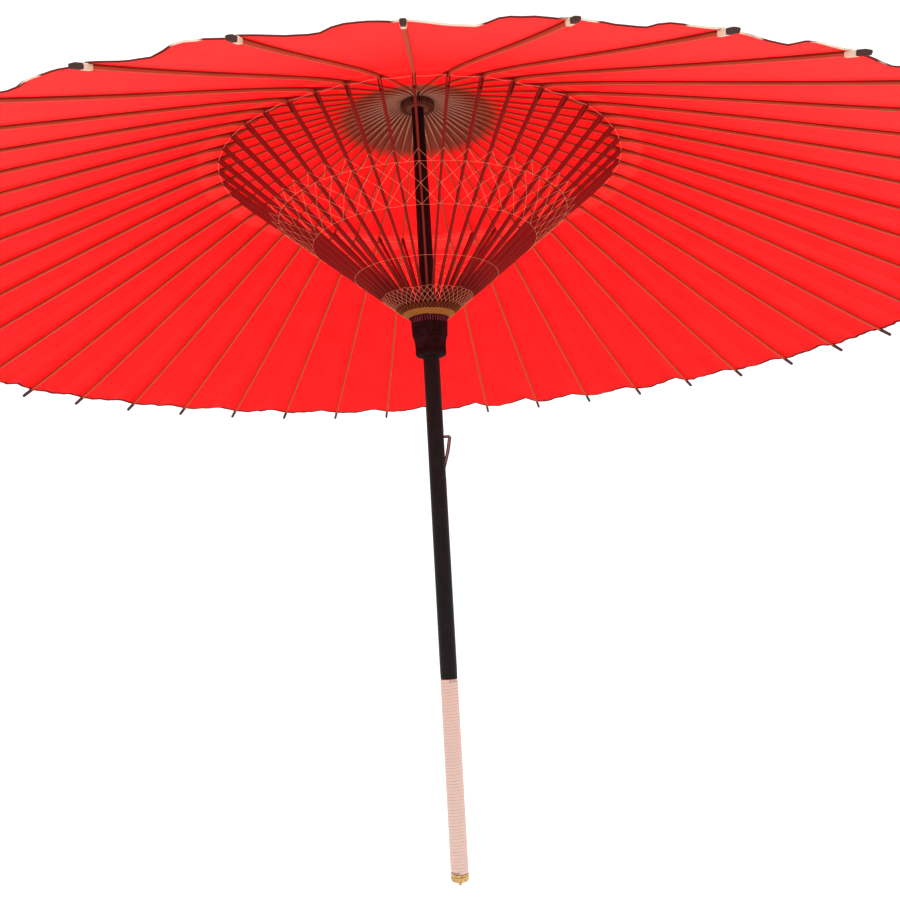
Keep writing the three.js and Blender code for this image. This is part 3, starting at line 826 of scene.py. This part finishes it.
def make_outer_paper(index):
    """The paper over one rib from the knuckles to the rim, with its hem and the thread in it."""
    build = Build()
    rows = paper_rows(index, 24, SEAM_RADIUS)
    build.sheet(rows)
    build.looks[-STRIP_COLUMNS:] = [1] * STRIP_COLUMNS
    build.tube([point - UP * 0.1 * MM for point in rows[-1]], 0.5 * MM, 6, look=2)
    finish_strip(build, "paper", index, "canopy_paper")


def make_ceiling_paper(index):
    """The paper over one rib from the hub to the knuckles."""
    build = Build()
    build.sheet(paper_rows(index, 14, PAPER_INNER, SEAM_RADIUS))
    finish_strip(build, "ceiling", index, "ceiling_paper")


# ---- crown cap

CROWN_SHARE = 4  # ribs under each gore of the skirt
CROWN_INNER = 19 * MM
CROWN_OUTER = CROWN_RADIUS - 1 * MM
CROWN_FOLD = 45 * MM
CROWN_PARTS = [("collar", CROWN_INNER, CROWN_FOLD, 0.85), ("skirt", CROWN_FOLD, CROWN_OUTER, 0.42)]
CROWN_LIFT = 0.9 * MM  # above the paper
CROWN_FLARE = 2.6 * MM  # more lift at the outer edge


def crown_point(place, radius):
    """A point on the cap; place counts ribs, and the cap rises a little over each."""
    share = (radius - CROWN_INNER) / (CROWN_OUTER - CROWN_INNER)
    rise = 0.35 * MM * math.cos(2 * math.pi * place) * share + CROWN_FLARE * share ** 3
    return at(angle_of(place), radius, height_over_ribs(radius, PAPER_LIFT + CROWN_LIFT) + rise)


def make_crown_gore(first):
    """A gore of the cap, centred on one rib and lying on the paper, in an inner and an outer part."""
    reach = CROWN_SHARE / 2
    columns, count = 16, 4
    for part, inner, outer, keep in CROWN_PARTS:
        radii = [inner + (outer - inner) * row / count for row in range(count + 1)]
        places = [first + reach * (2 * column / columns - 1) for column in range(columns + 1)]
        build = Build()
        build.sheet([[crown_point(place, radius) for place in places] for radius in radii])
        gore = build.object(f"crown_{part}_{first // CROWN_SHARE + 1:02d}", "crown_skirt", smooth=60)
        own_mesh(gore)
        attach(gore, RIB_NAMES[first])
        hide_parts("crown_cap")


def make_crown_knob():
    """The gathered top of the cap over the hub, tied below its head."""
    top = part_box("crown_cap")[1].z
    low = HUB_LOW.z + 9 * MM
    outline = in_metres([(18.5, 0), (19.3, 0), (19.2, 5), (18.4, 8), (18.8, 11)], low)
    outline += in_metres([(17.8, -9), (15, -5.5), (10, -2.5), (4.5, -0.8), (0.4, -0.2)], top)
    build = Build()
    sections, alongs = [], []
    for radius, z in outline:
        section = []
        for turn in turns_in(4 * RIB_COUNT):
            fold = 0.35 * MM * math.cos(RIB_COUNT * (turn - FIRST_ANGLE)) * min(1, radius / 0.012)
            section.append(at(turn, radius + fold, z))
        sections.append(section)
        alongs.append(z)
    build.loft(sections, alongs)
    knob = build.object("crown_knob", "crown", smooth=60)
    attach(knob, "shaft")
    tie = Build()
    path = [at(2 * math.pi * k / 48, 0.0189, low + (7 + 2.4 * k / 144) * MM) for k in range(145)]
    tie.tube(path, 0.55 * MM, 6)
    cord = tie.object("crown_tie", "gold_thread")
    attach(cord, "shaft")


# ---- hub and runner

# (radius, height over its foot) in millimetres: the sleeve, the waist, the wall and a groove
RUNNER_WALL = [(12.8, 0), (14.2, 0.3), (15.1, 1.1), (15.7, 2.4), (15.8, 5), (15.6, 5.4), (15.6, 10),
               (16, 14.5), (16.7, 18), (17, 18.6), (16.4, 18.9), (16.4, 19.6), (17.4, 19.9), (17.9, 20.5)]


def slotted(name, looks, profile, bottom, top):
    """A turned drum with a slot for each rib; the second look is the one between the slots."""
    build = Build()
    build.lathe(profile, 4 * RIB_COUNT)
    for number, face in enumerate(build.faces):
        if min(build.points[corner].z for corner in face) > bottom:
            build.looks[number] = len(looks) - 1
    drum = build.object(name, *looks)
    cutters = Build()
    for index in range(RIB_COUNT):
        angle = angle_of(index)
        outside = 1.2 * HUB_RADIUS
        corners = [(SLOT_FLOOR, -1), (outside, -1), (outside, 1), (SLOT_FLOOR, 1)]
        sections = [[at(angle, radius, z) + sideways(angle) * (side * SLOT_WIDTH / 2)
                     for radius, side in corners] for z in (bottom, top)]
        cutters.loft(sections, [bottom, top])
    drum = cut(drum, [cutters.object("cutter", looks[0])])
    drum.data.set_sharp_from_angle(angle=math.radians(35))
    return drum


def rounded(radius, low, high, corner):
    """A drum's outer wall with small rounded edges, from low to high."""
    return [(radius - corner, low), (radius - corner * 0.3, low + corner * 0.3), (radius, low + corner),
            (radius, high - corner), (radius - corner * 0.3, high - corner * 0.3), (radius - corner, high)]


def make_hinge_thread(name, radius, z):
    ring = Build()
    ring.tube([at(turn, radius, z) for turn in turns_in(3 * RIB_COUNT)], 0.35 * MM, 6, ring=True)
    return ring.object(name, "thread")


def make_runner():
    """The sliding drum: a sleeve, a slightly flared wall and the slotted head."""
    low, high = RUNNER_LOW.z, RUNNER_HIGH.z
    bore = 8.75 * MM
    profile = [(bore, low + 0.8 * MM), (bore + 0.8 * MM, low)]
    profile += in_metres(RUNNER_WALL, low)
    profile += in_metres([(18.6, -2.95), (18.8, 0)], RUNNER_HINGE_Z)
    profile += in_metres([(19, -0.5), (18.8, -0.1), (18.4, 0)], high)
    profile += [(bore + 0.6 * MM, high), (bore, high - 0.6 * MM)]
    # The head between the slots takes the lighter look, a painted highlight on the lacquer.
    runner = slotted("runner_drum", ("runner", "teeth_painted_light"), profile, RUNNER_HINGE_Z - 3 * MM, high + 1 * MM)
    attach(runner, "runner")
    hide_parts("runner")
    thread = make_hinge_thread("runner_hinge_thread", RUNNER_HINGE_RADIUS, RUNNER_HINGE_Z)
    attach(thread, "runner")


def make_top_hub():
    """The fixed drum at the top, grooved at its hinge line and slotted from below."""
    low, high = HUB_LOW.z, HUB_HIGH.z
    bore = 6.5 * MM
    profile = [(bore, low)]
    profile += rounded(HUB_RADIUS, low, HUB_HINGE_Z - 0.9 * MM, 0.5 * MM)
    profile += [(0.0142, HUB_HINGE_Z - 0.9 * MM), (0.0142, HUB_HINGE_Z + 0.9 * MM)]
    profile += rounded(HUB_RADIUS, HUB_HINGE_Z + 0.9 * MM, high, 0.5 * MM)
    profile += [(bore + 0.5 * MM, high), (bore, high - 0.5 * MM)]
    hub = slotted("top_hub_drum", ("hub",), profile, low - 1 * MM, HUB_HINGE_Z + 4.5 * MM)
    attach(hub, "shaft")
    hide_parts("top_hub")
    thread = make_hinge_thread("hub_hinge_thread", HINGE_RADIUS, HUB_HINGE_Z)
    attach(thread, "shaft")
    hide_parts("top_hub_thread")


# ---- shaft, grip, cap, catches

SHAFT_TAPER = [(7.65, 491), (7.25, 588)]  # (radius, z) between runner and hub, in millimetres
CANE = 0.42 * MM  # half of the strip's thickness


def make_shaft():
    """The lacquered pole, turned down under the grip, with a slot for each catch."""
    wrap_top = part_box("grip_wrap")[1].z
    low, high = (corner.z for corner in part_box("shaft"))
    profile = in_metres([(0.4, 0), (6.6, 0), (7, 0.4)], low)
    profile += in_metres([(7, 0.3), (8, 0.3), (8.4, 0.8)], wrap_top)
    profile += [(8.4 * MM, RUNNER_LOW.z), *in_metres(SHAFT_TAPER), (6.2 * MM, HUB_LOW.z)]
    profile += in_metres([(6.2, -0.5), (5.7, 0), (0.4, 0)], high)
    build = Build()
    build.lathe(profile, 72, closed=False)
    shaft = build.object("shaft_pole", "lacquer")
    cutters = []
    for name, turn in (("lower_catch", 0.0), ("upper_catch", math.pi / 2)):
        bottom, top = (corner.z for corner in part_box(name))
        cutters.append(block(f"{name}_slot", (-3 * MM, -1.6 * MM, bottom - 1.5 * MM),
                             (12 * MM, 1.6 * MM, top + 3 * MM), turn))
    cut(shaft, cutters)
    shaft.data.set_sharp_from_angle(angle=math.radians(35))
    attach(shaft, "shaft")
    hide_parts("shaft")


def make_grip():
    """Split cane wound side by side, one flat strip from end to end."""
    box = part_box("grip_wrap")
    low, high, radius = box[0].z, box[1].z, box[1].x
    turns, per_turn = 60, 40
    rise = (high - low) / (turns + 1)
    sections, alongs = [], []
    for step in range(turns * per_turn + 1):
        turn = 2 * math.pi * step / per_turn
        z = low + rise * (step / per_turn + 1)
        middle = radius - CANE
        section = []
        for k in range(8):
            lean = 2 * math.pi * (k + 0.5) / 8
            flat = CANE * math.copysign(abs(math.cos(lean)) ** 0.35, math.cos(lean))
            tall = rise * 0.495 * math.copysign(abs(math.sin(lean)) ** 0.5, math.sin(lean))
            section.append(at(turn, middle + flat, z - rise / 2 + tall))
        sections.append(section)
        alongs.append(turn * middle)
    build = Build()
    build.loft(sections, alongs)
    bead = [(-1.4, -0.3), (-0.3, -0.3), (-0.1, 0), (-0.3, 0.3), (-1.4, 0.3)]
    for middle in (low + 0.3 * MM, high - 0.3 * MM):
        build.lathe([(radius + out, z) for out, z in in_metres(bead, middle)], 64)
    core = in_metres([(7.2, 1), (7.6, 1)], low) + in_metres([(7.6, -1), (7.2, -1)], high)
    build.lathe(core, 48)
    grip = build.object("cane_grip", "cane", smooth=60)
    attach(grip, "shaft")
    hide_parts("grip_wrap")


def make_end_cap():
    """A brass thimble with a bead near its mouth and a pointed nub."""
    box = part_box("end_cap")
    low, high, radius = box[0].z, box[1].z, box[1].x
    profile = in_metres([(0.4, 0), (0.8, 0), (1.2, 0.3), (1.9, 1.8), (3, 3.2), (3.4, 3.8), (5.2, 4),
                         (7.4, 4.25), (8.2, 4.9)], low)
    groove = [(0, 6), (0, 8.8), (-0.4, 9.1), (-0.4, 9.5), (0, 9.8)]
    profile += [(radius + out, z) for out, z in in_metres(groove, low)]
    profile += [(radius, high - 0.3 * MM), (radius - 0.3 * MM, high), (7.3 * MM, high)]
    profile += in_metres([(7.3, 6), (0.4, 6)], low)
    build = Build()
    build.lathe(profile, 72, closed=False)
    cap = build.object("brass_cap", "brass")
    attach(cap, "shaft")
    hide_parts("end_cap")


CATCH_HALF = [1.0, 1.3, 1.6, 1.8, 1.8, 1.7, 1.6, 1.5, 1.4, 1.3]  # half thicknesses in millimetres


def make_catch(body, turn):
    """A bent strip, thinner towards its foot, with a rounded corner at the top."""
    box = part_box(body)
    low, high = box[0].z, box[1].z
    reach = max(box[1].x, box[1].y)
    path = in_metres([(5, 0.6), (6.6, 7), (9.2, 17), (11.8, 27)], low)
    corner = in_metres([(-2.9, -5.5), (-2.3, -2.9), (-3, -1.9), (-4.2, -1.7)], high)
    path += [(reach + out, z) for out, z in corner] + in_metres([(10.5, -1.7), (7.2, -1.7)], high)
    spin = Matrix.Rotation(turn, 3, "Z")
    sections, alongs, length = [], [], 0.0
    for index, (x, z) in enumerate(path):
        before, after = path[max(index - 1, 0)], path[min(index + 1, len(path) - 1)]
        ahead = Vector((after[0] - before[0], 0, after[1] - before[1])).normalized()
        normal = Vector((ahead.z, 0, -ahead.x))
        centre = Vector((x, 0, z))
        section = [spin @ (centre + normal * up + Vector((0, side, 0)))
                   for side, up in bevelled(2.6 * MM, CATCH_HALF[index] * MM, -CATCH_HALF[index] * MM,
                                            0.85 * MM)]
        sections.append(section)
        if index:
            length += math.dist((x, z), path[index - 1])
        alongs.append(length)
    build = Build()
    build.loft(sections, alongs)
    for row in range(len(path) - 1):
        for flank in (3, 7):
            build.looks[8 * row + flank] = 1
    catch = build.object(f"{body}_strip", "catch_edge", "catch")
    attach(catch, body)
    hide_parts(body)


# ---- floor and light

FLOOR_Z = -1.25
FLOOR_HALF = 14.0
WORLD_STRENGTH = 1.25


def make_stage():
    """A plain floor, an even white sky and one soft sun from above."""
    build = Build()
    corners = [Vector((x * FLOOR_HALF, y * FLOOR_HALF, FLOOR_Z))
               for x, y in ((-1, -1), (1, -1), (1, 1), (-1, 1))]
    build.points += corners
    build.face(0, [0, 1, 2, 3], [(0, 0), (1, 0), (1, 1), (0, 1)])
    floor_look = Look("floor", Roughness=0.9, Specular_IOR_Level=0.1)
    floor_look.set(Base_Color=(0.9, 0.9, 0.9, 1))
    LOOKS["floor"] = floor_look.material
    build.object("floor", "floor")
    world = bpy.data.worlds.new("studio")
    world.use_nodes = True
    background = world.node_tree.nodes["Background"]
    background.inputs["Color"].default_value = (1, 1, 1, 1)
    background.inputs["Strength"].default_value = WORLD_STRENGTH
    bpy.context.scene.world = world
    sun = bpy.data.lights.new("sun", "SUN")
    sun.energy = 2.2
    sun.angle = math.radians(30)
    lamp = bpy.data.objects.new("sun", sun)
    lamp.rotation_euler = (math.radians(-16), math.radians(10), 0)
    bpy.context.scene.collection.objects.link(lamp)
    bpy.context.scene.view_settings.view_transform = "Standard"


# ---- all pieces

make_camera()
make_stage()
make_shaft()
make_grip()
make_end_cap()
make_catch("lower_catch", 0.0)
make_catch("upper_catch", math.pi / 2)
make_runner()
make_top_hub()
make_waist_wrap()
chances = random.Random(11)
for number in range(RIB_COUNT):
    make_rib(number, chances)
    make_stretcher(number, chances)
    make_thread_gap(number, chances)
    make_knuckle_thread(number)
    make_outer_paper(number)
    make_ceiling_paper(number)
for number in range(0, RIB_COUNT, CROWN_SHARE):
    make_crown_gore(number)
make_crown_knob()
